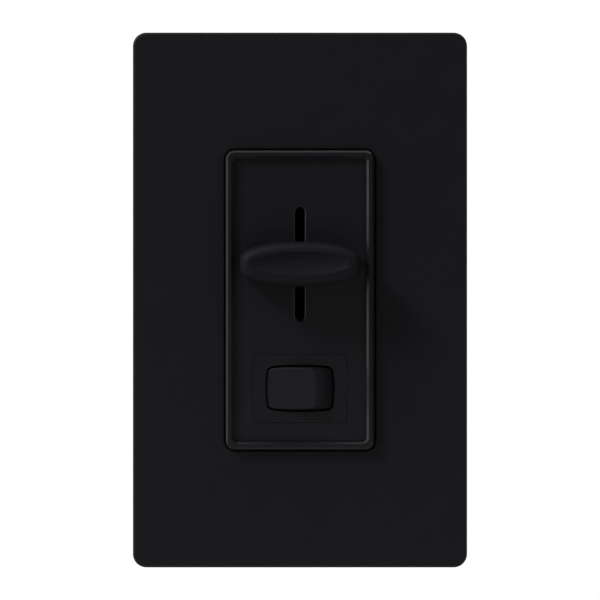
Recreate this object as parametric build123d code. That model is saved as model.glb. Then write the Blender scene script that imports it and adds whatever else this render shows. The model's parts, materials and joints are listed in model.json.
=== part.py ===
from build123d import *
import os
from math import cos, radians, sin, sqrt

# Slide dimmer with a small on/off rocker, in a one-gang screwless wall plate.
# Millimetres. +Z is up, +X is right seen from the front, and the front faces -Y.
# The origin is midway between the two box screws, in the plane of the wall (y = 0).

# ---- General ----
PAST = 1.0             # how far a cutting solid runs past the face it cuts
PARTING = 0.08         # gap at a parting line between two fixed mouldings
FREE_GAP = 0.3         # gap between pieces that must not rub
BEARING_FIT = 0.05     # radial clearance of a pin in its bearing
HOLE_FIT = 0.15        # radial clearance of a lead or tail in the board
SMALL_CORNER = 0.4     # least radius left where a wall takes up a rounded corner
PICK = 0.01            # tolerance when edges are picked by their place

# ---- Wall plate ----
PLATE_W = 74.6
PLATE_H = 119.4
PLATE_DEPTH = 7.6
PLATE_WALL = 1.6
PLATE_CORNER = 3.0
PLATE_EDGE = 0.6
OPENING_GAP = 0.33     # gap round the faceplate inside the wall plate's opening
OPENING_EDGE = 0.3
CATCH_W = 8.0
CATCH_Z = 35.0
CATCH_REACH = 1.0
CATCH_FRONT = 2.1      # catch from the wall, at its foot
CATCH_BACK = 0.6
CATCH_SLOPE = 0.5      # how much its back and front close in towards the tip
CATCH_GAP = 0.1
PRY_W = 8.0
PRY_DEPTH = 1.2

# ---- Adapter plate, behind the wall plate ----
ADAPTER_T = 1.6
ADAPTER_WALL = 1.6
ADAPTER_FOOT = 0.3     # how far its edge stays off the wall
ADAPTER_GAP = 0.2      # adapter ahead of the faceplate's flange
ADAPTER_BOSS_R = 4.0
BOX_RELIEF_R = 3.9

# ---- Decorator faceplate ----
INSERT_W = 33.0
INSERT_H = 66.6
INSERT_CORNER = 1.9
RIM_PROUD = 2.2        # rim above the wall plate
RIM_W = 1.17           # from the outer edge to the start of the inner bevel
RIM_BEVEL = 0.45
INNER_BEVEL = 0.5
RIM_DEPTH = 1.5        # field below the rim
FIELD_T = 1.6
FIELD_CORNER = 1.0
SIDE_WALL = 1.6
FLANGE_W = 2.8
FLANGE_T = 1.2
FLANGE_CORNER = 1.0
STAKE_R = 0.9
STAKE_HEAD_R = 1.4
STAKE_HEAD_T = 0.6
STAKE_Z = 22.0

# ---- Slider ----
SLIDER_Z = 8.0
TRAVEL = 20.0
SLOT_W = 2.0
SLOT_END_GAP = 0.35
SLOT_EDGE = 0.5
KNOB_W = 27.0
KNOB_H = 10.2
KNOB_RISE = 12.0       # crest above the field
KNOB_LIFT = 0.5        # gap under the knob
KNOB_WALL = 1.5
KNOB_END_H = 6.3       # height of its ends, before their corners are rounded
KNOB_CORNER = 2.6
LIP_W = 26.0           # the same outline at the crest
LIP_H = 9.4
LIP_END_H = 5.7
LIP_CORNER = 2.5
LIP_EDGE = 1.9         # large radius between the knob's sides and its crest
END_BULGE = 0.4        # bow of the knob's ends
DISH_W = 19.4
DISH_H = 4.5
DISH_DEPTH = 0.8
DISH_FLARE = 1.15      # full ellipsoid of the dish, relative to its outline
DISH_EDGE = 0.25
DISH_TILT = 3.0        # its floor rises towards the lower edge
LEVER_T = 1.4
LEVER_H = 4.4
LEVER_ROUND = 0.6
LEVER_BITE = 4.5       # length of lever inside the knob
SOCKET_WALL = 1.6

# ---- Rocker ----
ROCKER_Z = -19.7
ROCKER_R = 8.93        # drum radius about the hinge
ROCKER_END_R = 8.6
ROCKER_HALF_H = 4.8
ROCKER_END_HALF_H = 4.32
ROCKER_FLAT_R = 5.0    # radius where the drum's ends start to curve in
ROCKER_CORNER = 0.9
ROCKER_FACE = 6.9      # flat face from the hinge
ROCKER_RIDGE = 0.3
ROCKER_WALL = 1.3
ROCKER_SKIRT = 0.5     # drum carried on behind the hinge
ROCKER_GAP = 0.45
PIVOT_DEPTH = 5.35     # hinge behind the field
SWING = 30.0
TRUNNION_R = 1.25
TRUNNION_L = 1.7
TRUNNION_ENTRY = 0.85  # width of the bearing's open back, as a share of the pin
LUG_R = 2.4
POST_R = 2.2
POST_BACK = 2.3
FRAME_W = 20.9
FRAME_H = 15.2
FRAME_LIP = 1.6
FRAME_LIP_T = 1.2
FRAME_REACH = 3.55     # frame carried on behind the hinge

# ---- Switch mechanism ----
PLUNGER_R = 1.4
PLUNGER_REACH = 7.0    # hinge to the plunger's tip
PLUNGER_FRONT = 0.5    # plunger's front end ahead of the hinge
PLUNGER_FIT = 0.08
SPRING_WIRE_R = 0.18
SPRING_TURNS = 7
SPRING_SIDE_GAP = 0.05
SPRING_END_GAP = 0.02
TIP_CLEAR = 0.1
TILT = 12.0            # swing of the rocking contact
CONTACT_HALF_L = 6.2
CONTACT_HALF_H = 1.75
CONTACT_T = 0.6
CONTACT_CORNER = 0.8
CONTACT_PIN_R = 0.6
CONTACT_PIN_HALF = 3.0
BUTTON_X = 4.8
BUTTON_R = 1.2
BUTTON_T = 0.5
PAD_MARGIN = 0.2       # fixed contact past the button at each side
CONTACT_GAP = 0.05
TERMINAL_T = 0.6
CHEEK_T = 1.0
CHEEK_HALF_W = 1.4
CHEEK_LIP = 0.4        # cheek ahead of the contact's pin
BASE_W = 19.0
BASE_H = 13.0
POCKET_W = 15.6
POCKET_H = 8.4
TAIL_W = 1.0
TAIL_OUT = 1.0         # length of a tail or lead past the board

# ---- Yoke ----
YOKE_T = 1.6
YOKE_SIDE = 0.55       # yoke past the housing at each side
YOKE_BODY_H = 86.0
YOKE_H = 105.0
EAR_W = 26.0
YOKE_CORNER = 2.0
BOX_PITCH = 83.3       # box screws, centre to centre
PLATE_PITCH = 96.8     # adapter plate screws, centre to centre
BOX_SLOT_W = 7.4
BOX_SLOT_H = 4.6
YOKE_SLOT_SIDE = 1.3   # yoke's slot past the lever at each side
YOKE_SLOT_END = 1.0

# ---- Screws ----
SCREW_R = 1.75         # number 6, 32 threads to the inch
NECK_R = 1.45
BOX_SCREW_L = 22.0
BOX_HEAD_R = 3.3
BOX_HEAD_T = 1.4
WASHER_R = 4.2
WASHER_T = 0.4
PLATE_SCREW_L = 8.0
PLATE_HEAD_R = 3.2
PLATE_HEAD_T = 1.1
DRIVE_W = 0.9
DRIVE_DEPTH = 0.6
DRIVE_SPAN = 1.5       # drive's length, in head radii
HEAD_ROUND = 0.45      # head's rounding, as a share of its height
POINT_SHARE = 0.3      # chamfer at a screw's end, as a share of its radius
THREAD_START = 0.05    # thread begins this far behind the washer
GROUND_X = -15.5
GROUND_Z = -38.4
GROUND_HEAD_R = 3.6
GROUND_HEAD_T = 2.2

# ---- Slide potentiometer ----
CAN_W = 9.0
CAN_L = 35.0
CAN_FRONT = 0.8
CAN_WALL = 0.5
CAN_SLOT_W = 3.0
CAN_TAB_W = 1.6
CAN_TAB_Z = 14.0
CAN_TAB_ROOT = 0.5     # tab's overlap with the can's edge
CAN_CORNER = 0.6
TRACK_T = 1.0
TRACK_GAP = 0.05       # track's edge from the can's walls
CARRIAGE_L = 9.0
CARRIAGE_D = 4.0
CARRIAGE_EDGE = 0.5
WIPER_T = 0.2
WIPER_W = 0.8
WIPER_X = 1.6
WIPER_SIDE = 2.0       # leaf's edge from the can's sides
WIPER_END = 1.0        # leaf's edge from the carriage's ends
FINGER_END = 1.5       # finger's ends from the carriage's ends
FINGER_TOE = 1.0       # flat end of a finger that rubs on the track
PIN_R = 0.4
PIN_Z = 16.0

# ---- Circuit board and what stands on it ----
BOARD_FRONT = 8.0
BOARD_T = 1.6
BOARD_GAP = 1.1        # board's edge from the housing wall
BOARD_CORNER = 1.0
STAND_OFF = 0.3        # bodies stand this far off the board
LEAD_R = 0.3
LEAD_ROOT = 0.7        # lead's length inside a body
LEAD_BEND = 1.4        # bent lead from the end of its body
CORE_R = 10.0
CORE_HOLE_R = 5.2
CORE_T = 7.0
CORE_X = 0.0
CORE_Z = -18.0
CORE_EDGE = 0.6
CORE_LIFT = 0.4        # winding ahead of the ends of the leads on the board
WIRE_T = 0.9
WIRE_GAP = 0.05        # winding from the core
TURN_CORNER = 1.2
TURN_INSIDE = 0.5
TURNS = 20
WOUND = 300.0          # part of the circle that is wound
CHOKE_LEAD_TURN = 40.0  # lead's place round the core, from the top
FILM_X = 11.0
FILM_Z = 12.0
FILM_SIZE = (8.0, 14.0, 18.0)
TIMING_X = -9.0
TIMING_Z = -0.5
TIMING_SIZE = (5.0, 9.0, 10.0)
LEAD_INSET = 1.5       # a capacitor's lead from its end
CAPACITOR_EDGE = 0.6
AXIAL_EDGE = 0.4       # rounding of an axial body's ends, as a share of its radius
RESISTOR_X = (-9.0, -13.5)
RESISTOR_Z = 12.0
RESISTOR_R = 1.2
RESISTOR_L = 6.4
DIAC_X = -11.0
DIAC_Z = 25.0
DIAC_R = 0.95
DIAC_L = 4.0
TRIAC_X = 12.0
TRIAC_Z = 3.0          # lower end of the body
TRIAC_W = 10.0
TRIAC_BODY_L = 9.0
TRIAC_TAB_L = 6.4
TRIAC_D = 4.5
TRIAC_TAB_T = 1.3
TRIAC_PITCH = 2.54
TRIAC_LEAD_W = 0.8
TRIAC_DROP = 3.0
TRIAC_EDGE = 0.5
TRIAC_LEAD_LEVEL = 0.6  # leads, as a share of the body's depth
PAD_T = 0.2
PAD_EDGE = 0.5
TRIAC_SCREW_R = 1.5
TRIAC_HEAD_R = 2.7
TRIAC_HEAD_T = 1.9

# ---- Housing and wire terminals ----
HOUSING_SIDE = 5.2     # housing past the faceplate at each side
HOUSING_H = 68.0
HOUSING_D = 28.0
HOUSING_WALL = 1.8
HOUSING_CORNER = 2.5
HOUSING_EDGE = 1.0
CAVITY_CORNER = 1.0
POST_OUTER_R = 2.6
POST_NECK_R = 1.9
POST_INSET = 4.1       # post's centre from the housing's outer faces
HOUSING_SCREW_R = 1.15
HOUSING_HEAD_R = 2.2
HOUSING_HEAD_T = 1.4
HEAD_SUNK = 0.2        # heads below the housing's back
TERMINAL_Y = 15.8
TERMINAL_ZS = (14.0, -4.0)
LUG_T = 0.9
LUG_SIZE = (9.0, 9.0)
LUG_LEG_W = 5.0
LUG_REACH = 4.0        # leg's length inside the housing wall
TERMINAL_SCREW_L = 5.4
TERMINAL_HEAD_R = 3.9
TERMINAL_HEAD_T = 2.0

# ---- Depths, from the wall forwards ----
YOKE_FRONT = -YOKE_T
FLANGE_FRONT = YOKE_FRONT - FLANGE_T
ADAPTER_BACK = FLANGE_FRONT - ADAPTER_GAP
ADAPTER_FRONT = ADAPTER_BACK - ADAPTER_T
PLATE_FRONT = -PLATE_DEPTH
PLATE_INSIDE = PLATE_FRONT + PLATE_WALL
RIM_FRONT = PLATE_FRONT - RIM_PROUD
FIELD_FRONT = RIM_FRONT + RIM_DEPTH
FIELD_BACK = FIELD_FRONT + FIELD_T
PIVOT_Y = FIELD_FRONT + PIVOT_DEPTH
FRAME_BACK = PIVOT_Y + FRAME_REACH
KNOB_BACK = FIELD_FRONT - KNOB_LIFT
KNOB_FRONT = FIELD_FRONT - KNOB_RISE

# ---- Depths, from the wall backwards ----
CONTACT_Y = PIVOT_Y + PLUNGER_REACH + TIP_CLEAR + CONTACT_T / 2
BUTTON_BACK = (
    CONTACT_Y
    + (BUTTON_X + BUTTON_R) * sin(radians(TILT / 2))
    + (CONTACT_T / 2 + BUTTON_T) * cos(radians(TILT / 2))
)
TERMINAL_FRONT = BUTTON_BACK + CONTACT_GAP
POCKET_FLOOR = TERMINAL_FRONT + TERMINAL_T
BOARD_BACK = BOARD_FRONT + BOARD_T
TAIL_END = BOARD_BACK + TAIL_OUT
TRACK_FRONT = BOARD_FRONT - TRACK_T
CARRIAGE_FRONT = CAN_FRONT + CAN_WALL + FREE_GAP
CARRIAGE_BACK = CARRIAGE_FRONT + CARRIAGE_D

# ---- Widths and heights that follow ----
OPENING_W = INSERT_W + 2 * OPENING_GAP
OPENING_H = INSERT_H + 2 * OPENING_GAP
INSIDE_W = PLATE_W - 2 * PLATE_WALL
INSIDE_H = PLATE_H - 2 * PLATE_WALL
ADAPTER_W = INSIDE_W - 2 * FREE_GAP
ADAPTER_H = INSIDE_H - 2 * FREE_GAP
STAKE_X = INSERT_W / 2 + FLANGE_W / 2
SLOT_L = TRAVEL + LEVER_H + 2 * SLOT_END_GAP
BOX_SCREW_Z = BOX_PITCH / 2
PLATE_SCREW_Z = PLATE_PITCH / 2
HOUSING_W = INSERT_W + 2 * HOUSING_SIDE
YOKE_W = HOUSING_W + 2 * YOKE_SIDE
CAVITY_W = HOUSING_W - 2 * HOUSING_WALL
CAVITY_H = HOUSING_H - 2 * HOUSING_WALL
CAVITY_BACK = HOUSING_D - HOUSING_WALL
POST_X = HOUSING_W / 2 - POST_INSET
POST_Z = HOUSING_H / 2 - POST_INSET
HOUSING_SEAT = HOUSING_D - HOUSING_HEAD_T - HEAD_SUNK
WALL_X = HOUSING_W / 2
CRADLE_TAIL = (0.0, ROCKER_Z + CONTACT_HALF_H + FREE_GAP + CHEEK_T / 2)
FIXED_TAIL = (-BUTTON_X, ROCKER_Z)
TRIAC_LEAD_Z = TRIAC_Z - TRIAC_DROP
TRIAC_HOLE_Z = TRIAC_Z + TRIAC_BODY_L + TRIAC_TAB_L / 2
FOUR_CORNERS = [(-1, -1), (-1, 1), (1, -1), (1, 1)]


# ---- Shapes used again and again ----
def facing(x, y, z):
    """Plane at a point that looks out of the wall, with its own y axis upwards."""
    return Plane(origin=(x, y, z), x_dir=(1, 0, 0), z_dir=(0, -1, 0))


def slab(width, height, front, back, x=0.0, z=0.0, corner=0.0):
    """Upright block from one depth to another, its corners rounded if asked."""
    outline = RectangleRounded(width, height, corner) if corner else Rectangle(width, height)
    return extrude(facing(x, back, z) * outline, back - front)


def rod(radius, front, back, x=0.0, z=0.0):
    """Round bar along Y from one depth to another."""
    return extrude(facing(x, back, z) * Circle(radius), back - front)


def upright_slot(width, length, front, back, z):
    """Round-ended bar whose long axis is upright."""
    return extrude(facing(0, back, z) * SlotOverall(length, width, rotation=90), back - front)


def upright_rod(radius, low, high, x=0.0, y=0.0):
    """Round bar along Z."""
    return Pos(x, y, low) * Cylinder(radius, high - low, align=(Align.CENTER, Align.CENTER, Align.MIN))


def block(low, high):
    """Box between two opposite corners."""
    size = [high[i] - low[i] for i in range(3)]
    middle = [(high[i] + low[i]) / 2 for i in range(3)]
    return Pos(*middle) * Box(*size)


def front_face(solid):
    """The face nearest the viewer."""
    return solid.faces().sort_by(Axis.Y)[0]


def screw(head_r, head_t, shank_r, length, cross=True):
    """Pan-head screw with its seat at z = 0, its head above and its shank below."""
    head = Cylinder(head_r, head_t, align=(Align.CENTER, Align.CENTER, Align.MIN))
    head = fillet(head.faces().sort_by(Axis.Z)[-1].edges(), head_t * HEAD_ROUND)
    drive_l = head_r * DRIVE_SPAN
    drive = Pos(0, 0, head_t) * Box(drive_l, DRIVE_W, 2 * DRIVE_DEPTH)
    if cross:
        drive += Pos(0, 0, head_t) * Box(DRIVE_W, drive_l, 2 * DRIVE_DEPTH)
    shank = Cylinder(shank_r, length, align=(Align.CENTER, Align.CENTER, Align.MAX))
    shank = chamfer(shank.faces().sort_by(Axis.Z)[0].edges(), shank_r * POINT_SHARE)
    return head - drive + shank


def group(solids):
    """Separate solids kept as one node."""
    return Compound([piece.solid() for piece in solids])


# ---- Wall plate and what it clips to ----
def cover_plate():
    plate = slab(PLATE_W, PLATE_H, PLATE_FRONT, 0, corner=PLATE_CORNER)
    plate = fillet(front_face(plate).edges(), PLATE_EDGE)
    inner_corner = max(PLATE_CORNER - PLATE_WALL, SMALL_CORNER)
    plate -= slab(INSIDE_W, INSIDE_H, PLATE_INSIDE, PAST, corner=inner_corner)
    plate -= slab(OPENING_W, OPENING_H, PLATE_FRONT - PAST, 0, corner=INSERT_CORNER + OPENING_GAP)
    plate = fillet(front_face(plate).inner_wires()[0].edges(), OPENING_EDGE)
    for side, end in FOUR_CORNERS:
        x_wall = side * INSIDE_W / 2
        x_tip = x_wall - side * CATCH_REACH
        foot = [
            (x_wall, -CATCH_FRONT), (x_tip, CATCH_SLOPE - CATCH_FRONT),
            (x_tip, -CATCH_BACK - CATCH_SLOPE), (x_wall, -CATCH_BACK),
        ]
        outline = Plane.XY * make_face(Polyline(*foot, close=True))
        catch = extrude(outline, CATCH_W)
        plate += Pos(0, 0, end * CATCH_Z - CATCH_W / 2) * catch
    plate -= block((-PRY_W / 2, -PRY_DEPTH, -PLATE_H / 2 - PAST), (PRY_W / 2, PAST, -INSIDE_H / 2 + PAST))
    return plate


def adapter_plate():
    corner = max(PLATE_CORNER - PLATE_WALL - FREE_GAP, SMALL_CORNER)
    back = -ADAPTER_FOOT
    plate = slab(ADAPTER_W, ADAPTER_H, ADAPTER_FRONT, back, corner=corner)
    plate -= slab(
        ADAPTER_W - 2 * ADAPTER_WALL, ADAPTER_H - 2 * ADAPTER_WALL, ADAPTER_BACK, PAST, corner=corner
    )
    plate -= slab(OPENING_W, OPENING_H, ADAPTER_FRONT - PAST, PAST, corner=INSERT_CORNER)
    for end in (-1, 1):
        plate += rod(ADAPTER_BOSS_R, ADAPTER_FRONT, YOKE_FRONT, z=end * PLATE_SCREW_Z)
        plate -= rod(SCREW_R + HOLE_FIT, ADAPTER_FRONT - PAST, PAST, z=end * PLATE_SCREW_Z)
        plate -= rod(BOX_RELIEF_R, ADAPTER_FRONT - PAST, PAST, z=end * BOX_SCREW_Z)
    for side, end in FOUR_CORNERS:
        depth = CATCH_REACH + CATCH_GAP - FREE_GAP
        x = side * (ADAPTER_W / 2 - depth / 2 + PAST / 2)
        height = CATCH_W + 2 * FREE_GAP
        plate -= slab(depth + PAST, height, -CATCH_FRONT - FREE_GAP, PAST, x=x, z=end * CATCH_Z)
    return plate


def adapter_screws():
    upright = screw(PLATE_HEAD_R, PLATE_HEAD_T, SCREW_R - BEARING_FIT, PLATE_SCREW_L, cross=False)
    places = [facing(0, ADAPTER_FRONT, end * PLATE_SCREW_Z) for end in (-1, 1)]
    return group([place.location * upright for place in places])


# ---- Faceplate, which carries the slot and the rocker ----
def faceplate():
    plate = slab(INSERT_W, INSERT_H, RIM_FRONT, YOKE_FRONT, corner=INSERT_CORNER)
    plate = chamfer(front_face(plate).edges(), RIM_BEVEL)
    field_w = INSERT_W - 2 * RIM_W
    field_h = INSERT_H - 2 * RIM_W
    inner_w = field_w - 2 * INNER_BEVEL
    inner_h = field_h - 2 * INNER_BEVEL
    plate -= slab(inner_w, inner_h, RIM_FRONT - PAST, FIELD_FRONT, corner=FIELD_CORNER)
    plate = chamfer(front_face(plate).inner_wires()[0].edges(), INNER_BEVEL)
    plate -= slab(INSERT_W - 2 * SIDE_WALL, INSERT_H - 2 * SIDE_WALL, FIELD_BACK, PAST, corner=FIELD_CORNER)
    flange_w = INSERT_W + 2 * FLANGE_W
    flange_h = INSERT_H + 2 * FLANGE_T
    flange = slab(flange_w, flange_h, FLANGE_FRONT, YOKE_FRONT, corner=FLANGE_CORNER)
    flange -= slab(INSERT_W - 2 * SIDE_WALL, INSERT_H - 2 * SIDE_WALL, FLANGE_FRONT - PAST, PAST)
    plate += flange
    plate -= upright_slot(SLOT_W, SLOT_L, RIM_FRONT, YOKE_FRONT, SLIDER_Z)
    rims = plate.edges().filter_by_position(Axis.Y, FIELD_FRONT - PICK, FIELD_FRONT + PICK)
    half_l = SLOT_L / 2 + PICK
    rims = rims.filter_by_position(Axis.X, -SLOT_W, SLOT_W)
    rims = rims.filter_by_position(Axis.Z, SLIDER_Z - half_l, SLIDER_Z + half_l)
    plate = fillet(rims, SLOT_EDGE)
    window = slab(FRAME_W + 2 * PARTING, FRAME_H + 2 * PARTING, RIM_FRONT, YOKE_FRONT, z=ROCKER_Z)
    plate -= window
    for side, end in FOUR_CORNERS:
        x = side * STAKE_X
        z = end * STAKE_Z
        plate += rod(STAKE_R, FLANGE_FRONT, STAKE_HEAD_T, x, z)
        plate += rod(STAKE_HEAD_R, BEARING_FIT, STAKE_HEAD_T, x, z)
    return plate


def drum(grow=0.0):
    """Barrel-shaped drum about the rocker's hinge, which runs along Z through the origin."""
    half_h = ROCKER_HALF_H + grow
    end_h = ROCKER_END_HALF_H + grow
    end_r = ROCKER_END_R + grow
    with BuildSketch(Plane.XZ) as outline:
        with BuildLine():
            Line((0, -half_h), (0, half_h))
            Line((0, half_h), (ROCKER_FLAT_R, half_h))
            TangentArc((ROCKER_FLAT_R, half_h), (end_r, end_h), tangent=(1, 0))
            ThreePointArc((end_r, end_h), (ROCKER_R + grow, 0), (end_r, -end_h))
            TangentArc((ROCKER_FLAT_R, -half_h), (end_r, -end_h), tangent=(1, 0))
            Line((ROCKER_FLAT_R, -half_h), (0, -half_h))
        make_face()
        corners = outline.vertices().filter_by_position(Axis.X, end_r - PICK, end_r + PICK)
        fillet(corners, max(ROCKER_CORNER + grow, SMALL_CORNER))
    return revolve(outline.sketch, Axis.Z)


def at_hinge(shape, turn=-SWING / 2):
    """Set a rocker piece, drawn square to its hinge, at the hinge with its rest tilt."""
    return Pos(0, PIVOT_Y, ROCKER_Z) * Rot(0, 0, turn) * shape


def switch_frame():
    frame = slab(FRAME_W, FRAME_H, FIELD_FRONT, FRAME_BACK, z=ROCKER_Z)
    lip_w = FRAME_W + 2 * FRAME_LIP
    lip_h = FRAME_H + 2 * FRAME_LIP
    frame += slab(lip_w, lip_h, FIELD_BACK, FIELD_BACK + FRAME_LIP_T, z=ROCKER_Z)
    frame -= at_hinge(drum(ROCKER_GAP), 0)
    bearing_r = TRUNNION_R + BEARING_FIT
    reach = ROCKER_HALF_H + TRUNNION_L + FREE_GAP
    frame -= upright_rod(bearing_r, ROCKER_Z - reach, ROCKER_Z + reach, y=PIVOT_Y)
    entry = TRUNNION_R * TRUNNION_ENTRY
    frame -= block((-entry, PIVOT_Y, ROCKER_Z - reach), (entry, FRAME_BACK + PAST, ROCKER_Z + reach))
    return frame


def rocker_button():
    front = -ROCKER_FACE
    wide = 2 * ROCKER_R
    body = drum() & block((-wide, front, -wide), (wide, ROCKER_SKIRT, wide))
    body = fillet(front_face(body).edges(), ROCKER_RIDGE)
    inside = drum(-ROCKER_WALL) & block((-wide, front + ROCKER_WALL, -wide), (wide, PAST, wide))
    body -= inside
    for end in (-1, 1):
        lug_low, lug_high = sorted((end * (ROCKER_HALF_H - ROCKER_WALL), end * ROCKER_HALF_H))
        body += upright_rod(LUG_R, lug_low, lug_high)
        pin_low, pin_high = sorted((end * ROCKER_HALF_H, end * (ROCKER_HALF_H + TRUNNION_L)))
        body += upright_rod(TRUNNION_R, pin_low, pin_high)
    body += rod(POST_R, front + ROCKER_WALL, POST_BACK)
    body -= rod(PLUNGER_R + PLUNGER_FIT, front + ROCKER_WALL, POST_BACK + PAST)
    return at_hinge(body)


def plunger():
    stem = rod(PLUNGER_R, -PLUNGER_FRONT, PLUNGER_REACH - PLUNGER_R)
    tip = Pos(0, PLUNGER_REACH - PLUNGER_R, 0) * Sphere(PLUNGER_R)
    return at_hinge(stem + tip)


def plunger_spring():
    coil_r = PLUNGER_R - SPRING_WIRE_R - SPRING_SIDE_GAP
    front = -ROCKER_FACE + ROCKER_WALL + SPRING_WIRE_R + SPRING_END_GAP
    back = -PLUNGER_FRONT - SPRING_WIRE_R - SPRING_END_GAP
    height = back - front
    path = Helix(pitch=height / SPRING_TURNS, height=height, radius=coil_r)
    start = Plane(origin=path @ 0, z_dir=path % 0)
    coil = sweep(start * Circle(SPRING_WIRE_R), path=path)
    return at_hinge(Pos(0, front, 0) * Rot(-90, 0, 0) * coil)


# ---- Contacts under the rocker ----
def at_contact(shape, turn=TILT / 2):
    """Set a piece drawn about the rocking contact's pin at its place, with its rest tilt."""
    return Pos(0, CONTACT_Y, ROCKER_Z) * Rot(0, 0, turn) * shape


def rocking_contact():
    half_t = CONTACT_T / 2
    strip = slab(2 * CONTACT_HALF_L, 2 * CONTACT_HALF_H, -half_t, half_t, corner=CONTACT_CORNER)
    for end in (-1, 1):
        low, high = sorted((end * (CONTACT_HALF_H - CONTACT_T), end * CONTACT_PIN_HALF))
        strip += upright_rod(CONTACT_PIN_R, low, high)
    strip += rod(BUTTON_R, half_t, half_t + BUTTON_T, x=-BUTTON_X)
    return at_contact(strip)


def contact_cradle():
    cheek_in = CONTACT_HALF_H + FREE_GAP
    cheek_out = cheek_in + CHEEK_T
    cradle = slab(2 * CHEEK_HALF_W, 2 * cheek_out, TERMINAL_FRONT, POCKET_FLOOR, z=ROCKER_Z)
    notch_r = CONTACT_PIN_R + BEARING_FIT
    for end in (-1, 1):
        middle = ROCKER_Z + end * (cheek_in + CHEEK_T / 2)
        cradle += slab(2 * CHEEK_HALF_W, CHEEK_T, CONTACT_Y - CHEEK_LIP, TERMINAL_FRONT, z=middle)
        low = middle - CHEEK_T / 2
        high = middle + CHEEK_T / 2
        cradle -= upright_rod(notch_r, low, high, y=CONTACT_Y)
        cradle -= block((-notch_r, CONTACT_Y - PAST, low), (notch_r, CONTACT_Y, high))
    tail_x, tail_z = CRADLE_TAIL
    cradle += slab(TAIL_W, TAIL_W, POCKET_FLOOR, TAIL_END, tail_x, tail_z)
    return cradle


def fixed_contact():
    pad_w = 2 * (BUTTON_R + PAD_MARGIN)
    pad = slab(pad_w, 2 * CONTACT_HALF_H, TERMINAL_FRONT, POCKET_FLOOR, -BUTTON_X, ROCKER_Z)
    tail_x, tail_z = FIXED_TAIL
    return pad + slab(TAIL_W, TAIL_W, POCKET_FLOOR, TAIL_END, tail_x, tail_z)


def switch_base():
    base = slab(BASE_W, BASE_H, FRAME_BACK, BOARD_FRONT, z=ROCKER_Z)
    base -= slab(POCKET_W, POCKET_H, FRAME_BACK - PAST, POCKET_FLOOR, z=ROCKER_Z)
    for x, z in (CRADLE_TAIL, FIXED_TAIL):
        hole = TAIL_W + 2 * HOLE_FIT
        base -= slab(hole, hole, POCKET_FLOOR - PAST, BOARD_FRONT + PAST, x, z)
    return base


# ---- Slider: knob, lever and potentiometer ----
def knob_outline(depth, width, height, end_h, corner):
    """Barrel outline at one depth: long arcs above and below, short ones at the ends."""
    end_x = width / 2 - END_BULGE
    with BuildSketch() as outline:
        with BuildLine():
            ThreePointArc((-end_x, end_h / 2), (0, height / 2), (end_x, end_h / 2))
            ThreePointArc((end_x, end_h / 2), (width / 2, 0), (end_x, -end_h / 2))
            ThreePointArc((end_x, -end_h / 2), (0, -height / 2), (-end_x, -end_h / 2))
            ThreePointArc((-end_x, -end_h / 2), (-width / 2, 0), (-end_x, end_h / 2))
        make_face()
        fillet(outline.vertices(), corner)
    return facing(0, depth, SLIDER_Z) * outline.sketch


def knob_hull(inset, front):
    """Tapered solid from the knob's back to a depth, its sides drawn in by an inset."""
    share = (KNOB_BACK - front) / (KNOB_BACK - KNOB_FRONT)
    start = (KNOB_W, KNOB_H, KNOB_END_H, KNOB_CORNER)
    crest = (LIP_W, LIP_H, LIP_END_H, LIP_CORNER)
    inner = [size - 2 * inset for size in start[:3]] + [max(start[3] - inset, SMALL_CORNER)]
    end = [a + (b - a) * share for a, b in zip(start, crest)]
    end = [size - 2 * inset for size in end[:3]] + [max(end[3] - inset, SMALL_CORNER)]
    return loft([knob_outline(KNOB_BACK, *inner), knob_outline(front, *end)], ruled=True)


def dish():
    """Ellipsoid that dips into the crest, set forward so that its edge is a gentler slope."""
    back_off = sqrt(1 - 1 / DISH_FLARE**2)
    radius = DISH_DEPTH / (1 - back_off)
    shape = scale(Sphere(1.0), by=(DISH_FLARE * DISH_W / 2, radius, DISH_FLARE * DISH_H / 2))
    return Pos(0, KNOB_FRONT - radius * back_off, SLIDER_Z) * Rot(DISH_TILT, 0, 0) * shape


def slider_knob():
    knob = knob_hull(0.0, KNOB_FRONT)
    knob = fillet(front_face(knob).edges(), LIP_EDGE)
    knob -= dish()
    crest = knob.edges().filter_by_position(Axis.Y, KNOB_FRONT - PICK, KNOB_FRONT + PICK)
    knob = fillet(crest.sort_by(SortBy.LENGTH)[-1], DISH_EDGE)
    floor = KNOB_FRONT + DISH_DEPTH + KNOB_WALL
    web_w = LEVER_T + 2 * SOCKET_WALL
    knob -= knob_hull(KNOB_WALL, floor) - slab(web_w, KNOB_H, floor - PAST, KNOB_BACK + PAST, z=SLIDER_Z)
    lever_front = KNOB_BACK - LEVER_BITE
    knob -= slab(LEVER_T, LEVER_H, lever_front, KNOB_BACK + PAST, z=SLIDER_Z, corner=LEVER_ROUND)
    return knob


def slider_lever():
    return slab(LEVER_T, LEVER_H, KNOB_BACK - LEVER_BITE, CARRIAGE_BACK, z=SLIDER_Z, corner=LEVER_ROUND)


def pot_carriage():
    width = CAN_W - 2 * CAN_WALL - 2 * FREE_GAP
    carriage = slab(width, CARRIAGE_L, CARRIAGE_FRONT, CARRIAGE_BACK, z=SLIDER_Z)
    carriage = chamfer(carriage.edges().filter_by(Axis.Y), CARRIAGE_EDGE)
    carriage -= slab(
        LEVER_T, LEVER_H, CARRIAGE_FRONT - PAST, CARRIAGE_BACK + PAST, z=SLIDER_Z, corner=LEVER_ROUND
    )
    return carriage


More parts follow.
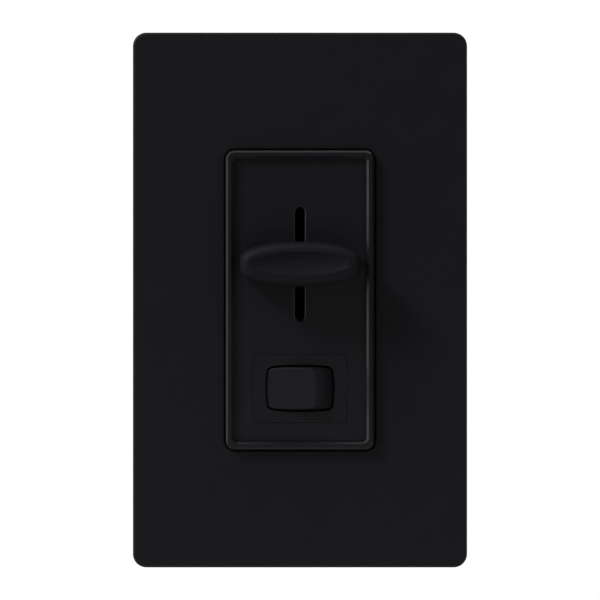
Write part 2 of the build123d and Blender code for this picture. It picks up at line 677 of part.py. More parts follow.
def pot_wiper():
    """Spring leaf on the carriage, with two fingers that reach the track."""
    leaf_w = CAN_W - 2 * WIPER_SIDE
    leaf_l = CARRIAGE_L - 2 * WIPER_END
    plate = slab(leaf_w, leaf_l, CARRIAGE_BACK, CARRIAGE_BACK + WIPER_T, z=SLIDER_Z)
    near = CARRIAGE_BACK + WIPER_T / 2
    far = TRACK_FRONT - FREE_GAP / 2
    low = SLIDER_Z - CARRIAGE_L / 2 + FINGER_END
    high = SLIDER_Z + CARRIAGE_L / 2 - FINGER_END
    outline = make_face(
        Polyline(
            (near, low), (far, high - FINGER_TOE), (far, high), (far - WIPER_T, high),
            (far - WIPER_T, high - FINGER_TOE), (near, low + WIPER_T), close=True,
        )
    )
    for side in (-1, 1):
        x = side * WIPER_X - WIPER_W / 2
        across = Plane(origin=(x, 0, 0), x_dir=(0, 1, 0), z_dir=(1, 0, 0))
        plate += extrude(across * outline, WIPER_W)
    return plate


def pot_can():
    can = slab(CAN_W, CAN_L, CAN_FRONT, BOARD_FRONT, z=SLIDER_Z, corner=CAN_CORNER)
    inner_w = CAN_W - 2 * CAN_WALL
    inner_l = CAN_L - 2 * CAN_WALL
    can -= slab(inner_w, inner_l, CAN_FRONT + CAN_WALL, BOARD_FRONT + PAST, z=SLIDER_Z)
    slot_l = TRAVEL + LEVER_H + 2 * FREE_GAP + CAN_SLOT_W - LEVER_T
    can -= upright_slot(CAN_SLOT_W, slot_l, CAN_FRONT - PAST, CAN_FRONT + CAN_WALL + PICK, SLIDER_Z)
    for side, end in FOUR_CORNERS:
        x = side * (CAN_W - CAN_WALL) / 2
        can += slab(CAN_WALL, CAN_TAB_W, BOARD_FRONT - CAN_TAB_ROOT, TAIL_END, x, SLIDER_Z + end * CAN_TAB_Z)
    return can


def pot_pin_places():
    return [(0.0, SLIDER_Z - PIN_Z), (-WIPER_X, SLIDER_Z + PIN_Z), (WIPER_X, SLIDER_Z + PIN_Z)]


def pot_board():
    margin = 2 * (CAN_WALL + TRACK_GAP)
    track = slab(CAN_W - margin, CAN_L - margin, TRACK_FRONT, BOARD_FRONT, z=SLIDER_Z)
    for x, z in pot_pin_places():
        track -= rod(PIN_R, TRACK_FRONT - PAST, BOARD_FRONT + PAST, x, z)
    return track


def pot_pins():
    return group([rod(PIN_R, TRACK_FRONT, TAIL_END, x, z) for x, z in pot_pin_places()])


# ---- Circuit board ----
def capacitor_leads(x, z, length):
    reach = length / 2 - LEAD_INSET
    return [(x, z - reach), (x, z + reach)]


def axial_leads(x, z, length):
    reach = length / 2 + LEAD_BEND
    return [(x, z - reach), (x, z + reach)]


def round_lead_places():
    places = capacitor_leads(FILM_X, FILM_Z, FILM_SIZE[2])
    places += capacitor_leads(TIMING_X, TIMING_Z, TIMING_SIZE[2])
    for x in RESISTOR_X:
        places += axial_leads(x, RESISTOR_Z, RESISTOR_L)
    places += axial_leads(DIAC_X, DIAC_Z, DIAC_L)
    places += choke_lead_places()
    return places


def choke_lead_places():
    reach = CORE_R + WIRE_T + 2 * LEAD_R
    turn = radians(CHOKE_LEAD_TURN)
    return [(CORE_X + side * reach * sin(turn), CORE_Z + reach * cos(turn)) for side in (-1, 1)]


def triac_lead_places():
    return [(TRIAC_X + step * TRIAC_PITCH, TRIAC_LEAD_Z) for step in (-1, 0, 1)]


def terminal_tail_places():
    inner = WALL_X - HOUSING_WALL - LUG_REACH + LUG_T / 2
    return [(side * inner, z) for side, z in zip((1, -1), TERMINAL_ZS)]


def circuit_board():
    board_w = CAVITY_W - 2 * BOARD_GAP
    board_h = CAVITY_H - 2 * BOARD_GAP
    board = slab(board_w, board_h, BOARD_FRONT, BOARD_BACK, corner=BOARD_CORNER)
    through = (BOARD_FRONT - PAST, BOARD_BACK + PAST)
    for side, end in FOUR_CORNERS:
        board -= rod(POST_NECK_R + HOLE_FIT, *through, side * POST_X, end * POST_Z)
    for x, z in round_lead_places():
        board -= rod(LEAD_R + HOLE_FIT, *through, x, z)
    for x, z in pot_pin_places():
        board -= rod(PIN_R + HOLE_FIT, *through, x, z)
    square = TAIL_W + 2 * HOLE_FIT
    for x, z in [CRADLE_TAIL, FIXED_TAIL] + triac_lead_places():
        board -= slab(square, square, *through, x, z)
    for x, z in terminal_tail_places():
        board -= slab(LUG_T + 2 * HOLE_FIT, 2 * TAIL_W + 2 * HOLE_FIT, *through, x, z)
    for side, end in FOUR_CORNERS:
        x = side * (CAN_W - CAN_WALL) / 2
        z = SLIDER_Z + end * CAN_TAB_Z
        board -= slab(CAN_WALL + 2 * HOLE_FIT, CAN_TAB_W + 2 * HOLE_FIT, *through, x, z)
    return board


def box_capacitor(x, z, size):
    width, depth, length = size
    front = BOARD_BACK + STAND_OFF
    body = slab(width, length, front, front + depth, x, z)
    body = fillet(body.edges(), CAPACITOR_EDGE)
    for lead_x, lead_z in capacitor_leads(x, z, length):
        body += rod(LEAD_R, BOARD_FRONT - TAIL_OUT, front + LEAD_ROOT, lead_x, lead_z)
    return body


def film_capacitor():
    return box_capacitor(FILM_X, FILM_Z, FILM_SIZE)


def timing_capacitor():
    return box_capacitor(TIMING_X, TIMING_Z, TIMING_SIZE)


def axial_part(x, z, radius, length):
    """Round body lying along Z, with a lead bent into the board at each end."""
    y = BOARD_BACK + radius + STAND_OFF
    body = upright_rod(radius, z - length / 2, z + length / 2, x, y)
    body = fillet(body.edges(), radius * AXIAL_EDGE)
    for lead_x, lead_z in axial_leads(x, z, length):
        body += upright_rod(LEAD_R, min(z, lead_z), max(z, lead_z), x, y)
        body += Pos(x, y, lead_z) * Sphere(LEAD_R)
        body += rod(LEAD_R, BOARD_FRONT - TAIL_OUT, y, lead_x, lead_z)
    return body


def resistors():
    return group([axial_part(x, RESISTOR_Z, RESISTOR_R, RESISTOR_L) for x in RESISTOR_X])


def diac():
    return axial_part(DIAC_X, DIAC_Z, DIAC_R, DIAC_L)


def choke_middle():
    return TAIL_END + CORE_LIFT + WIRE_T + CORE_T / 2


def choke_core():
    middle = choke_middle()
    core = rod(CORE_R, middle - CORE_T / 2, middle + CORE_T / 2, CORE_X, CORE_Z)
    core -= rod(CORE_HOLE_R, middle - CORE_T, middle + CORE_T, CORE_X, CORE_Z)
    rims = core.edges().filter_by(GeomType.CIRCLE)
    return fillet(rims, CORE_EDGE)


def choke_winding():
    """Turns of enamelled wire round the core, and two ends that go into the board."""
    middle = choke_middle()
    section_w = CORE_R - CORE_HOLE_R
    ring_r = (CORE_R + CORE_HOLE_R) / 2
    inner_size = (section_w + 2 * WIRE_GAP, CORE_T + 2 * WIRE_GAP)
    outer_size = (inner_size[0] + 2 * WIRE_T, inner_size[1] + 2 * WIRE_T)
    ring = RectangleRounded(*outer_size, TURN_CORNER) - RectangleRounded(*inner_size, TURN_INSIDE)
    turn = extrude(ring, WIRE_T / 2, both=True)
    first = 90 + (360 - WOUND) / 2
    turns = []
    for number in range(TURNS):
        spin = first + number * WOUND / (TURNS - 1)
        turns.append(Pos(CORE_X, middle, CORE_Z) * Rot(0, spin, 0) * Pos(ring_r, 0, 0) * turn)
    ends = []
    for x, z in choke_lead_places():
        ends.append(rod(LEAD_R, BOARD_FRONT - TAIL_OUT, middle, x, z))
    return group(turns + ends)


def triac_pad():
    length = TRIAC_BODY_L + TRIAC_TAB_L + 2 * PAD_EDGE
    middle = TRIAC_Z + (TRIAC_BODY_L + TRIAC_TAB_L) / 2
    pad = slab(TRIAC_W + 2 * PAD_EDGE, length, 0, PAD_T, TRIAC_X, middle)
    return pad - rod(TRIAC_SCREW_R + HOLE_FIT, -PAST, PAST, TRIAC_X, TRIAC_HOLE_Z)


def triac():
    whole_l = TRIAC_BODY_L + TRIAC_TAB_L
    tab = slab(TRIAC_W, whole_l, PAD_T, PAD_T + TRIAC_TAB_T, TRIAC_X, TRIAC_Z + whole_l / 2)
    tab -= rod(TRIAC_SCREW_R + HOLE_FIT, -PAST, TRIAC_D, TRIAC_X, TRIAC_HOLE_Z)
    body = slab(
        TRIAC_W, TRIAC_BODY_L, PAD_T, PAD_T + TRIAC_D, TRIAC_X, TRIAC_Z + TRIAC_BODY_L / 2
    )
    body = chamfer(body.faces().sort_by(Axis.Y)[-1].edges(), TRIAC_EDGE)
    piece = tab + body
    lead_y = PAD_T + TRIAC_D * TRIAC_LEAD_LEVEL
    half = TRIAC_LEAD_W / 2
    for x, z in triac_lead_places():
        piece += block((x - half, lead_y - half, z - half), (x + half, lead_y + half, TRIAC_Z + PAST))
        piece += block((x - half, lead_y, z - half), (x + half, TAIL_END, z + half))
    return piece


def triac_screw():
    seat = PAD_T + TRIAC_TAB_T
    upright = screw(TRIAC_HEAD_R, TRIAC_HEAD_T, TRIAC_SCREW_R, seat + YOKE_T)
    place = Plane(origin=(TRIAC_X, seat, TRIAC_HOLE_Z), x_dir=(1, 0, 0), z_dir=(0, 1, 0))
    return place.location * upright


# ---- Yoke, housing and fixings ----
def yoke():
    plate = slab(YOKE_W, YOKE_BODY_H, YOKE_FRONT, 0, corner=YOKE_CORNER)
    plate += slab(EAR_W, YOKE_H, YOKE_FRONT, 0, corner=YOKE_CORNER)
    through = (YOKE_FRONT - PAST, PAST)
    window = (FRAME_W + 2 * FREE_GAP, FRAME_H + 2 * FREE_GAP)
    plate -= slab(*window, *through, z=ROCKER_Z)
    slot_w = LEVER_T + 2 * YOKE_SLOT_SIDE
    plate -= upright_slot(slot_w, SLOT_L + 2 * YOKE_SLOT_END, *through, SLIDER_Z)
    for end in (-1, 1):
        box_slot = SlotOverall(BOX_SLOT_W, BOX_SLOT_H)
        plate -= extrude(facing(0, PAST, end * BOX_SCREW_Z) * box_slot, YOKE_T + 2 * PAST)
        plate -= rod(SCREW_R, *through, z=end * PLATE_SCREW_Z)
    for side, end in FOUR_CORNERS:
        plate -= rod(STAKE_R + BEARING_FIT, *through, side * STAKE_X, end * STAKE_Z)
        plate -= rod(HOUSING_SCREW_R, *through, side * POST_X, end * POST_Z)
    plate -= rod(TRIAC_SCREW_R, *through, TRIAC_X, TRIAC_HOLE_Z)
    plate -= rod(SCREW_R, *through, GROUND_X, GROUND_Z)
    return plate


def box_screws():
    screws = []
    for end in (-1, 1):
        z = end * BOX_SCREW_Z
        start = WASHER_T + THREAD_START
        head = facing(0, YOKE_FRONT, z).location * screw(BOX_HEAD_R, BOX_HEAD_T, NECK_R, YOKE_T + WASHER_T)
        thread = rod(SCREW_R, start, BOX_SCREW_L, z=z)
        thread = chamfer(thread.faces().sort_by(Axis.Y)[-1].edges(), SCREW_R * POINT_SHARE)
        screws.append(head + rod(NECK_R, YOKE_FRONT, start, z=z) + thread)
    return group(screws)


def retainer_washers():
    washers = []
    for end in (-1, 1):
        z = end * BOX_SCREW_Z
        washers.append(rod(WASHER_R, 0, WASHER_T, z=z) - rod(NECK_R + BEARING_FIT, -PAST, PAST, z=z))
    return group(washers)


def ground_screw():
    upright = screw(GROUND_HEAD_R, GROUND_HEAD_T, SCREW_R, YOKE_T)
    place = Plane(origin=(GROUND_X, 0, GROUND_Z), x_dir=(1, 0, 0), z_dir=(0, 1, 0))
    return place.location * upright


def back_cover():
    cover = slab(HOUSING_W, HOUSING_H, 0, HOUSING_D, corner=HOUSING_CORNER)
    cover = fillet(cover.faces().sort_by(Axis.Y)[-1].edges(), HOUSING_EDGE)
    cover -= slab(CAVITY_W, CAVITY_H, -PAST, CAVITY_BACK, corner=CAVITY_CORNER)
    for side, end in FOUR_CORNERS:
        x = side * POST_X
        z = end * POST_Z
        cover += rod(POST_OUTER_R, BOARD_BACK, CAVITY_BACK, x, z)
        cover += rod(POST_NECK_R, 0, BOARD_BACK, x, z)
        cover -= rod(HOUSING_SCREW_R + HOLE_FIT, -PAST, HOUSING_D + PAST, x, z)
        cover -= rod(HOUSING_HEAD_R + HOLE_FIT, HOUSING_SEAT, HOUSING_D + PAST, x, z)
    for side, z in zip((1, -1), TERMINAL_ZS):
        leg_front = TERMINAL_Y - LUG_SIZE[0] / 2
        inner = side * (WALL_X - HOUSING_WALL - PAST)
        outer = side * (WALL_X + PAST)
        low_x, high_x = sorted((inner, outer))
        half = LUG_LEG_W / 2 + BEARING_FIT
        cover -= block(
            (low_x, leg_front - BEARING_FIT, z - half), (high_x, leg_front + LUG_T + BEARING_FIT, z + half)
        )
        bore = Cylinder(SCREW_R + 2 * HOLE_FIT, high_x - low_x)
        cover -= Pos((low_x + high_x) / 2, TERMINAL_Y, z) * Rot(0, 90, 0) * bore
    return cover


def housing_screws():
    upright = screw(HOUSING_HEAD_R, HOUSING_HEAD_T, HOUSING_SCREW_R, HOUSING_SEAT + YOKE_T)
    screws = []
    for side, end in FOUR_CORNERS:
        origin = (side * POST_X, HOUSING_SEAT, end * POST_Z)
        place = Plane(origin=origin, x_dir=(1, 0, 0), z_dir=(0, 1, 0))
        screws.append(place.location * upright)
    return group(screws)


def terminal_plates():
    """Brass plate outside the wall, a leg through the wall and a tail into the board."""
    plates = []
    front = TERMINAL_Y - LUG_SIZE[0] / 2
    for side, z in zip((1, -1), TERMINAL_ZS):
        plate = slab(
            LUG_T, LUG_SIZE[1], front, front + LUG_SIZE[0], side * (WALL_X + LUG_T / 2), z
        )
        bore = Cylinder(SCREW_R, 4 * LUG_T)
        plate -= Pos(side * WALL_X, TERMINAL_Y, z) * Rot(0, 90, 0) * bore
        inner = side * (WALL_X - HOUSING_WALL - LUG_REACH)
        low_x, high_x = sorted((inner, side * WALL_X))
        half = LUG_LEG_W / 2
        plate += block((low_x, front, z - half), (high_x, front + LUG_T, z + half))
        low_x, high_x = sorted((inner, inner + side * LUG_T))
        plate += block((low_x, BOARD_FRONT - TAIL_OUT, z - TAIL_W), (high_x, front, z + TAIL_W))
        plates.append(plate)
    return group(plates)


def terminal_screws():
    upright = screw(TERMINAL_HEAD_R, TERMINAL_HEAD_T, SCREW_R - BEARING_FIT, TERMINAL_SCREW_L)
    screws = []
    for side, z in zip((1, -1), TERMINAL_ZS):
        origin = (side * (WALL_X + LUG_T), TERMINAL_Y, z)
        place = Plane(origin=origin, x_dir=(0, 1, 0), z_dir=(side, 0, 0))
        screws.append(place.location * upright)
    return group(screws)


PIECES = [
    cover_plate, adapter_plate, adapter_screws, faceplate, switch_frame, rocker_button, plunger,
    plunger_spring, rocking_contact, contact_cradle, fixed_contact, switch_base, slider_knob,
    slider_lever, pot_carriage, pot_wiper, pot_can, pot_board, pot_pins, circuit_board,
    film_capacitor, timing_capacitor, resistors, diac, choke_core, choke_winding, triac_pad, triac,
    triac_screw, yoke, box_screws, retainer_washers, ground_screw, back_cover, housing_screws,
    terminal_plates, terminal_screws,
]

os.makedirs("parts", exist_ok=True)
for piece in PIECES:
    export_step(piece(), f"parts/{piece.__name__}.step")
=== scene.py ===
import json
import math

import bmesh
import bpy
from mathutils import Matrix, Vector


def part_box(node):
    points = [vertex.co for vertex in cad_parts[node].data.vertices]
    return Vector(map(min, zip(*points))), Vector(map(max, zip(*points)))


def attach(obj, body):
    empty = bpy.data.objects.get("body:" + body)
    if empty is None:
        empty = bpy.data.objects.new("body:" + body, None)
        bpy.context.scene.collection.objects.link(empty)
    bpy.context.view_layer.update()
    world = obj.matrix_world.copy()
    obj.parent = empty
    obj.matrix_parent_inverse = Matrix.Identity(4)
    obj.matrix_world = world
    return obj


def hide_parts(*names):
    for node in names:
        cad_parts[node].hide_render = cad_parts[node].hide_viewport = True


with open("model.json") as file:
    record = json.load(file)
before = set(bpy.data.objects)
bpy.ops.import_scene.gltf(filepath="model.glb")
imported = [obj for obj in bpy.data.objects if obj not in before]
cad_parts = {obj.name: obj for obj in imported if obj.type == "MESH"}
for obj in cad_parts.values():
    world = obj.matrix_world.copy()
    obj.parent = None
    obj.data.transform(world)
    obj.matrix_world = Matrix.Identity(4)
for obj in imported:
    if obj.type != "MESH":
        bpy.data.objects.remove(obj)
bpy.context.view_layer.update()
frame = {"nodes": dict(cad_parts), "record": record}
MM = 0.001


# ---- Materials ----
NOISE_LOW = 0.3            # most values of a noise lie between these two
NOISE_HIGH = 0.7
MOTTLE_LOW = 0.35          # noise at which a mottled colour is darkest
MOTTLE_HIGH = 0.65         # and at which it is lightest
finishes = {}


def new_material(name):
    """Node material kept in finishes: its tree, its shader and its object coordinates in millimetres."""
    made = bpy.data.materials.new(name)
    made.use_nodes = True
    finishes[name] = made
    tree = made.node_tree
    shader = tree.nodes["Principled BSDF"]
    coords = tree.nodes.new("ShaderNodeTexCoord")
    scale = tree.nodes.new("ShaderNodeVectorMath")
    scale.operation = "SCALE"
    scale.inputs["Scale"].default_value = 1 / MM
    tree.links.new(coords.outputs["Object"], scale.inputs[0])
    return tree, shader, scale.outputs[0]


def noise(tree, where, scale, detail):
    node = tree.nodes.new("ShaderNodeTexNoise")
    node.inputs["Scale"].default_value = scale
    node.inputs["Detail"].default_value = detail
    tree.links.new(where, node.inputs["Vector"])
    return node.outputs["Fac"]


def mottle(tree, shader, value, dark, light):
    """Base colour that runs from dark to light with a noise."""
    node = tree.nodes.new("ShaderNodeValToRGB")
    places = zip(node.color_ramp.elements, (MOTTLE_LOW, MOTTLE_HIGH), (dark, light))
    for element, place, color in places:
        element.position = place
        element.color = (*color, 1)
    tree.links.new(value, node.inputs["Fac"])
    tree.links.new(node.outputs["Color"], shader.inputs["Base Color"])


def uneven_gloss(tree, shader, value, low, high):
    """Roughness that runs between two numbers with a noise."""
    node = tree.nodes.new("ShaderNodeMapRange")
    node.inputs["From Min"].default_value = NOISE_LOW
    node.inputs["From Max"].default_value = NOISE_HIGH
    node.inputs["To Min"].default_value = low
    node.inputs["To Max"].default_value = high
    tree.links.new(value, node.inputs["Value"])
    tree.links.new(node.outputs["Result"], shader.inputs["Roughness"])


def bump(tree, shader, height, depth):
    """Relief with a noise as its height and a depth in millimetres."""
    node = tree.nodes.new("ShaderNodeBump")
    node.inputs["Distance"].default_value = depth * MM
    node.inputs["Strength"].default_value = 1
    tree.links.new(height, node.inputs["Height"])
    tree.links.new(node.outputs["Normal"], shader.inputs["Normal"])


def shade(color, factor):
    return tuple(part * factor for part in color)


def plastic(name, color, rough, grain=9, depth=0.004, vary=0.12, specular=0.5):
    """Moulded plastic: faint mottling, a fine grain and slightly uneven gloss."""
    tree, shader, where = new_material(name)
    cloud = noise(tree, where, scale=0.15, detail=4)
    mottle(tree, shader, cloud, shade(color, 1 - vary), shade(color, 1 + vary))
    fine = noise(tree, where, scale=grain, detail=2)
    uneven_gloss(tree, shader, fine, low=rough - 0.05, high=rough + 0.05)
    shader.inputs["Specular IOR Level"].default_value = specular
    bump(tree, shader, fine, depth)


def metal(name, color, rough=0.3, stretch=(1, 1, 12)):
    """Metal with brush marks and a patchy gloss. The stretch gives the marks their direction."""
    tree, shader, where = new_material(name)
    drawn = tree.nodes.new("ShaderNodeMapping")
    drawn.inputs["Scale"].default_value = stretch
    tree.links.new(where, drawn.inputs["Vector"])
    brush = noise(tree, drawn.outputs["Vector"], scale=1.5, detail=5)
    cloud = noise(tree, where, scale=0.3, detail=4)
    mottle(tree, shader, cloud, shade(color, 0.85), shade(color, 1.08))
    uneven_gloss(tree, shader, brush, low=rough - 0.08, high=rough + 0.12)
    shader.inputs["Metallic"].default_value = 1
    bump(tree, shader, brush, depth=0.003)


BLACK = (0.0071, 0.0077, 0.0100)
PAINTED_LIGHT_BLACK = shade(BLACK, 1.2)           # painted light: a lighter copy of the black that brightens the knob and the rocker as if more lit
SHADE_PAINTED_BLACK = (0.004, 0.004, 0.004)   # painted shade: parts behind the slot drawn near black, so the slot shows as a dark gap
TURNED = (3, 3, 3)                   # marks with no direction, as on a turned screw

plastic("plate_black", BLACK, rough=0.5, vary=0.05, specular=0.25)
plastic("insert_black", BLACK, rough=0.38, vary=0.05, specular=0.45)
# the knob and the rocker take the black lightened as painted light
plastic("rocker_black", PAINTED_LIGHT_BLACK, rough=0.55, vary=0.05, specular=0.2)
plastic("knob_black", PAINTED_LIGHT_BLACK, rough=0.58, vary=0.05, specular=0.14)
plastic("adapter_grey", (0.02, 0.02, 0.021), rough=0.5)
plastic("housing_plastic", (0.018, 0.018, 0.019), rough=0.5, grain=5, depth=0.012)
plastic("mechanism_plastic", (0.7, 0.69, 0.65), rough=0.45)
plastic("can_metal", SHADE_PAINTED_BLACK, rough=0.6)     # metal drawn as dull near-black plastic, painted shade behind the slot
plastic("lever_black", (0.005, 0.005, 0.005), rough=0.5)
plastic("fibre_washer", (0.3, 0.14, 0.07), rough=0.7, grain=3, depth=0.02)
plastic("board_laminate", (0.05, 0.16, 0.05), rough=0.35)
# painted shade: the track is drawn near black like the other parts behind the slot
plastic("track_laminate", SHADE_PAINTED_BLACK, rough=0.6)
plastic("epoxy_black", (0.02, 0.02, 0.02), rough=0.6)
plastic("pad_grey", (0.4, 0.41, 0.43), rough=0.7)
plastic("ferrite", (0.07, 0.2, 0.1), rough=0.45)
plastic("film_box", (0.55, 0.36, 0.05), rough=0.35)
plastic("resistor_coat", (0.6, 0.44, 0.25), rough=0.5)
plastic("diac_body", (0.05, 0.12, 0.4), rough=0.2)
metal("yoke_metal", (0.72, 0.73, 0.74))
metal("spring_steel", (0.55, 0.55, 0.55))
metal("screw_steel", (0.6, 0.6, 0.57), rough=0.32, stretch=TURNED)
metal("contact_brass", (0.72, 0.53, 0.25), rough=0.28)
metal("ground_green", (0.03, 0.3, 0.09), rough=0.35, stretch=TURNED)
metal("copper_wire", (0.62, 0.25, 0.11), rough=0.25)

slot_of = {row["node"]: row["material_slot"] for row in frame["record"]["subparts"]}
for node, shown in frame["nodes"].items():
    for index in range(len(shown.data.materials)):
        shown.data.materials[index] = finishes[slot_of[node]]


# ---- Pieces made here ----
def new_piece(name, tool):
    """Object with the mesh of a bmesh, which is freed."""
    mesh = bpy.data.meshes.new(name)
    tool.to_mesh(mesh)
    tool.free()
    piece = bpy.data.objects.new(name, mesh)
    bpy.context.collection.objects.link(piece)
    return piece


def loft_rings(name, rings):
    """Closed smooth piece through rings of points, all of one count, capped at both ends."""
    tool = bmesh.new()
    made = [[tool.verts.new(point) for point in ring] for ring in rings]
    count = len(made[0])
    for lower, upper in zip(made, made[1:]):
        for step in range(count):
            after = (step + 1) % count
            tool.faces.new((lower[step], lower[after], upper[after], upper[step]))
    for ring in (made[0], made[-1]):
        centre = tool.verts.new(sum((vert.co for vert in ring), Vector()) / count)
        for step in range(count):
            tool.faces.new((ring[step], ring[(step + 1) % count], centre))
    bmesh.ops.recalc_face_normals(tool, faces=tool.faces)
    piece = new_piece(name, tool)
    for face in piece.data.polygons:
        face.use_smooth = True
    smooth = piece.modifiers.new("smooth", "SUBSURF")
    smooth.levels = 1
    smooth.render_levels = 1
    return piece


KNOB_POINTS = 96              # points in one ring
KNOB_SQUARE = 4.2             # how square the outline's ends are, where 2 is an ellipse
KNOB_END_SHARE = 0.7          # height of the outline's ends, as a share of its middle
KNOB_DRAFT = 0.3 * MM
KNOB_ROUND = 2.1 * MM         # radius from the sides to the crest
KNOB_ROUND_STEPS = 8
KNOB_WALL = 1.5 * MM
KNOB_BACK_EDGE = 0.15 * MM    # bevel round the outside of the open back
CAVITY_EDGE_W = 0.1 * MM      # bevel round the inside of it
CAVITY_EDGE_DEPTH = 0.2 * MM
DISH_DEPTH = 0.8 * MM
DISH_POWER = 4                # the higher, the flatter the middle and the steeper the rim
DISH_LEAN = 0.8               # the dish is deeper towards the top and shallower below
DISH_SHARES = (0.97, 0.94, 0.9, 0.85, 0.79, 0.72, 0.62, 0.48, 0.3, 0.15)   # its rings, as shares of its rim


def signed_power(value, exponent):
    return math.copysign(abs(value) ** exponent, value)


def knob_ring(centre, half_w, half_h, inset, depth, scale=1.0, lean=0.0):
    """Barrel outline drawn in by an inset, then scaled, at a depth that leans from top to bottom."""
    wide = half_w - inset
    tall = half_h - inset
    end_share = (half_h * KNOB_END_SHARE - inset) / tall
    ring = []
    for step in range(KNOB_POINTS):
        turn = 2 * math.pi * step / KNOB_POINTS
        u = signed_power(math.cos(turn), 2 / KNOB_SQUARE)
        v = signed_power(math.sin(turn), 2 / KNOB_SQUARE)
        z = v * tall * (1 - (1 - end_share) * u * u) * scale
        ring.append((centre.x + u * wide * scale, depth + lean * z / tall, centre.z + z))
    return ring


def make_knob():
    """Knob with a cavity open to the back, drafted sides, a rounded crest and a leaning dish."""
    low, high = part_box("slider_knob")
    outline = ((low + high) / 2, (high.x - low.x) / 2, (high.z - low.z) / 2)
    cavity_end = low.y + DISH_DEPTH + 2 * KNOB_WALL
    side_start = high.y - KNOB_BACK_EDGE
    side_end = low.y + KNOB_ROUND
    rings = [
        knob_ring(*outline, KNOB_WALL + KNOB_DRAFT, cavity_end),
        knob_ring(*outline, KNOB_WALL, high.y - CAVITY_EDGE_DEPTH),
        knob_ring(*outline, KNOB_WALL - CAVITY_EDGE_W, high.y),
        knob_ring(*outline, KNOB_BACK_EDGE, high.y),
        knob_ring(*outline, 0, side_start),
    ]
    for share in (0.5, 1.0):
        rings.append(knob_ring(*outline, KNOB_DRAFT * share, side_start + (side_end - side_start) * share))
    for step in range(1, KNOB_ROUND_STEPS + 1):
        turn = math.radians(90 * step / KNOB_ROUND_STEPS)
        inset = KNOB_DRAFT + KNOB_ROUND * (1 - math.cos(turn))
        rings.append(knob_ring(*outline, inset, low.y + KNOB_ROUND * (1 - math.sin(turn))))
    for share in DISH_SHARES:
        fall = DISH_DEPTH * (1 - share**DISH_POWER)
        rings.append(knob_ring(*outline, KNOB_DRAFT + KNOB_ROUND, low.y + fall, share, DISH_LEAN * fall))
    knob = loft_rings("knob_moulding", rings)
    knob.data.materials.append(finishes["knob_black"])
    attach(knob, "slider")
    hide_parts("slider_knob")


THREAD_PITCH = 0.794 * MM     # 32 threads to the inch
THREAD_DEPTH = 0.38 * MM
THREAD_POINTS = 40            # points in one turn
THREAD_PROFILE = ((0.0, 0.0), (0.38, 1.0), (0.5, 1.0), (0.88, 0.0))   # across a ridge, in pitches and depths
THREAD_TAPER = 1.2 * MM       # length over which the thread runs out at the tip
TIP_SHARE = 0.8               # radius at the tip, as a share of the thread's root
WASHER_GAP = 0.05 * MM        # from the washer to the thread
HEAD_OVERLAP = 0.1 * MM       # how far the CAD's points are kept past the thread's start


def thread_body(name, radius, start, end):
    """Threaded shank along Y: a helical ridge wound on its root, running out at the tip."""
    root = radius - THREAD_DEPTH
    steps = int((end - start) / THREAD_PITCH * THREAD_POINTS)
    tool = bmesh.new()
    rows = []
    for step in range(steps + 1):
        turn = 2 * math.pi * step / THREAD_POINTS
        row = []
        for along, rise in THREAD_PROFILE:
            y = min(start + THREAD_PITCH * (step / THREAD_POINTS + along), end)
            fade = min(1.0, (end - y) / THREAD_TAPER)
            r = root * (TIP_SHARE + (1 - TIP_SHARE) * fade) + THREAD_DEPTH * rise * fade
            row.append(tool.verts.new((r * math.cos(turn), y, r * math.sin(turn))))
        rows.append(row)
    for row, after in zip(rows, rows[1:]):
        for side in range(len(THREAD_PROFILE) - 1):
            tool.faces.new((row[side], row[side + 1], after[side + 1], after[side]))
    next_turn = rows[THREAD_POINTS:]
    for row, after, above, above_after in zip(rows, rows[1:], next_turn, next_turn[1:]):
        tool.faces.new((row[-1], above[0], above_after[0], after[-1]))
    tool.faces.new([row[0] for row in reversed(rows[:THREAD_POINTS + 1])])
    tool.faces.new([row[-1] for row in rows[-THREAD_POINTS - 1:]])
    bmesh.ops.recalc_face_normals(tool, faces=tool.faces)
    return new_piece(name, tool)


def part_of_node(node, name, keep):
    """Piece with the faces of a CAD node whose points all pass a test."""
    tool = bmesh.new()
    tool.from_mesh(frame["nodes"][node].data)
    lost = [vert for vert in tool.verts if not keep(vert.co)]
    bmesh.ops.delete(tool, geom=lost, context="VERTS")
    return new_piece(name, tool)


def stand_for_box_screws(piece):
    piece.data.materials.clear()
    piece.data.materials.append(finishes["screw_steel"])
    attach(piece, "root")
    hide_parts("box_screws")


def make_box_screws():
    """Heads as in the CAD, with a real thread behind the washers."""
    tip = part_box("box_screws")[1].y
    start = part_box("retainer_washers")[1].y + WASHER_GAP
    studs = frame["record"]["mounts"][0]["dims"]
    heads = part_of_node("box_screws", "box_screw_heads", lambda point: point.y < start + HEAD_OVERLAP)
    stand_for_box_screws(heads)
    for side, name in ((-1, "lower"), (1, "upper")):
        thread = thread_body(f"box_screw_thread_{name}", studs["stud_r_mm"] * MM, start, tip)
        thread.location = (0, 0, side * studs["spacing_y_mm"] * MM / 2)
        stand_for_box_screws(thread)


make_box_screws()
make_knob()


# ---- Floor, lights, surroundings and camera ----
plate_low, plate_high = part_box("cover_plate")
FLOOR_HALF = 600 * MM
FLOOR_BEHIND = 100 * MM       # from the wall to the floor's middle
FLOOR_DROP = 60 * MM          # from the plate's lower edge to the floor
WORLD_STRENGTH = 0.03
FRAME_SIDE = 133.9 * MM       # width that the camera takes in at the plate's front
LENS = 300                    # long, so that the front shows almost no perspective
CLIP_START = 10 * MM
CLIP_END = 20000 * MM


def make_floor():
    tool = bmesh.new()
    bmesh.ops.create_grid(tool, x_segments=8, y_segments=8, size=FLOOR_HALF)
    floor = new_piece("floor", tool)
    floor.location = (0, FLOOR_BEHIND, plate_low.z - FLOOR_DROP)
    plastic("floor_paper", (0.85, 0.85, 0.85), rough=0.8, grain=1, depth=0.01, vary=0.02)
    floor.data.materials.append(finishes["floor_paper"])


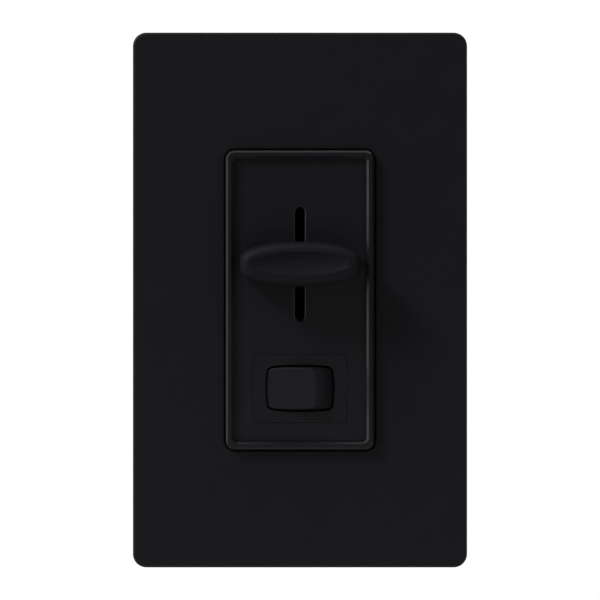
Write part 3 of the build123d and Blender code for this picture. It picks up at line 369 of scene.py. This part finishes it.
def area_light(name, place, energy, size, size_y=None):
    """Light aimed at the origin, square or, with a second size, a rectangle. Metres and watts."""
    data = bpy.data.lights.new(name, "AREA")
    data.energy = energy
    data.size = size
    if size_y:
        data.shape = "RECTANGLE"
        data.size_y = size_y
    lamp = bpy.data.objects.new(name, data)
    lamp.location = place
    lamp.rotation_euler = (-Vector(place)).to_track_quat("-Z", "Y").to_euler()
    bpy.context.collection.objects.link(lamp)


def make_world():
    """White to the camera, dim to everything else."""
    world = bpy.data.worlds.new("studio")
    bpy.context.scene.world = world
    world.use_nodes = True
    tree = world.node_tree
    tree.nodes.clear()
    out = tree.nodes.new("ShaderNodeOutputWorld")
    mix = tree.nodes.new("ShaderNodeMixShader")
    path = tree.nodes.new("ShaderNodeLightPath")
    dim = tree.nodes.new("ShaderNodeBackground")
    white = tree.nodes.new("ShaderNodeBackground")
    for shader, strength in ((dim, WORLD_STRENGTH), (white, 1)):
        shader.inputs["Color"].default_value = (1, 1, 1, 1)
        shader.inputs["Strength"].default_value = strength
    tree.links.new(path.outputs["Is Camera Ray"], mix.inputs["Fac"])
    tree.links.new(dim.outputs[0], mix.inputs[1])
    tree.links.new(white.outputs[0], mix.inputs[2])
    tree.links.new(mix.outputs[0], out.inputs["Surface"])


def make_camera():
    """Level camera in front of the middle of the plate."""
    data = bpy.data.cameras.new("camera")
    data.lens = LENS
    data.clip_start = CLIP_START
    data.clip_end = CLIP_END
    middle = (plate_low + plate_high) / 2
    distance = FRAME_SIDE * LENS / data.sensor_width
    camera = bpy.data.objects.new("camera", data)
    camera.location = (middle.x, plate_low.y - distance, middle.z)
    camera.rotation_euler = (math.pi / 2, 0, 0)
    bpy.context.collection.objects.link(camera)
    bpy.context.scene.camera = camera


make_floor()
area_light("key", (-0.78, -0.58, 0.78), energy=7.5, size=0.3)
area_light("left", (-0.95, -0.16, 0.05), energy=1.7, size=0.16, size_y=0.7)
area_light("top", (0.05, -0.2, 0.95), energy=3.2, size=1.6, size_y=0.16)
area_light("right", (0.9, -0.9, 0.3), energy=1.5, size=0.8)
make_world()
make_camera()
bpy.context.scene.view_settings.view_transform = "Standard"
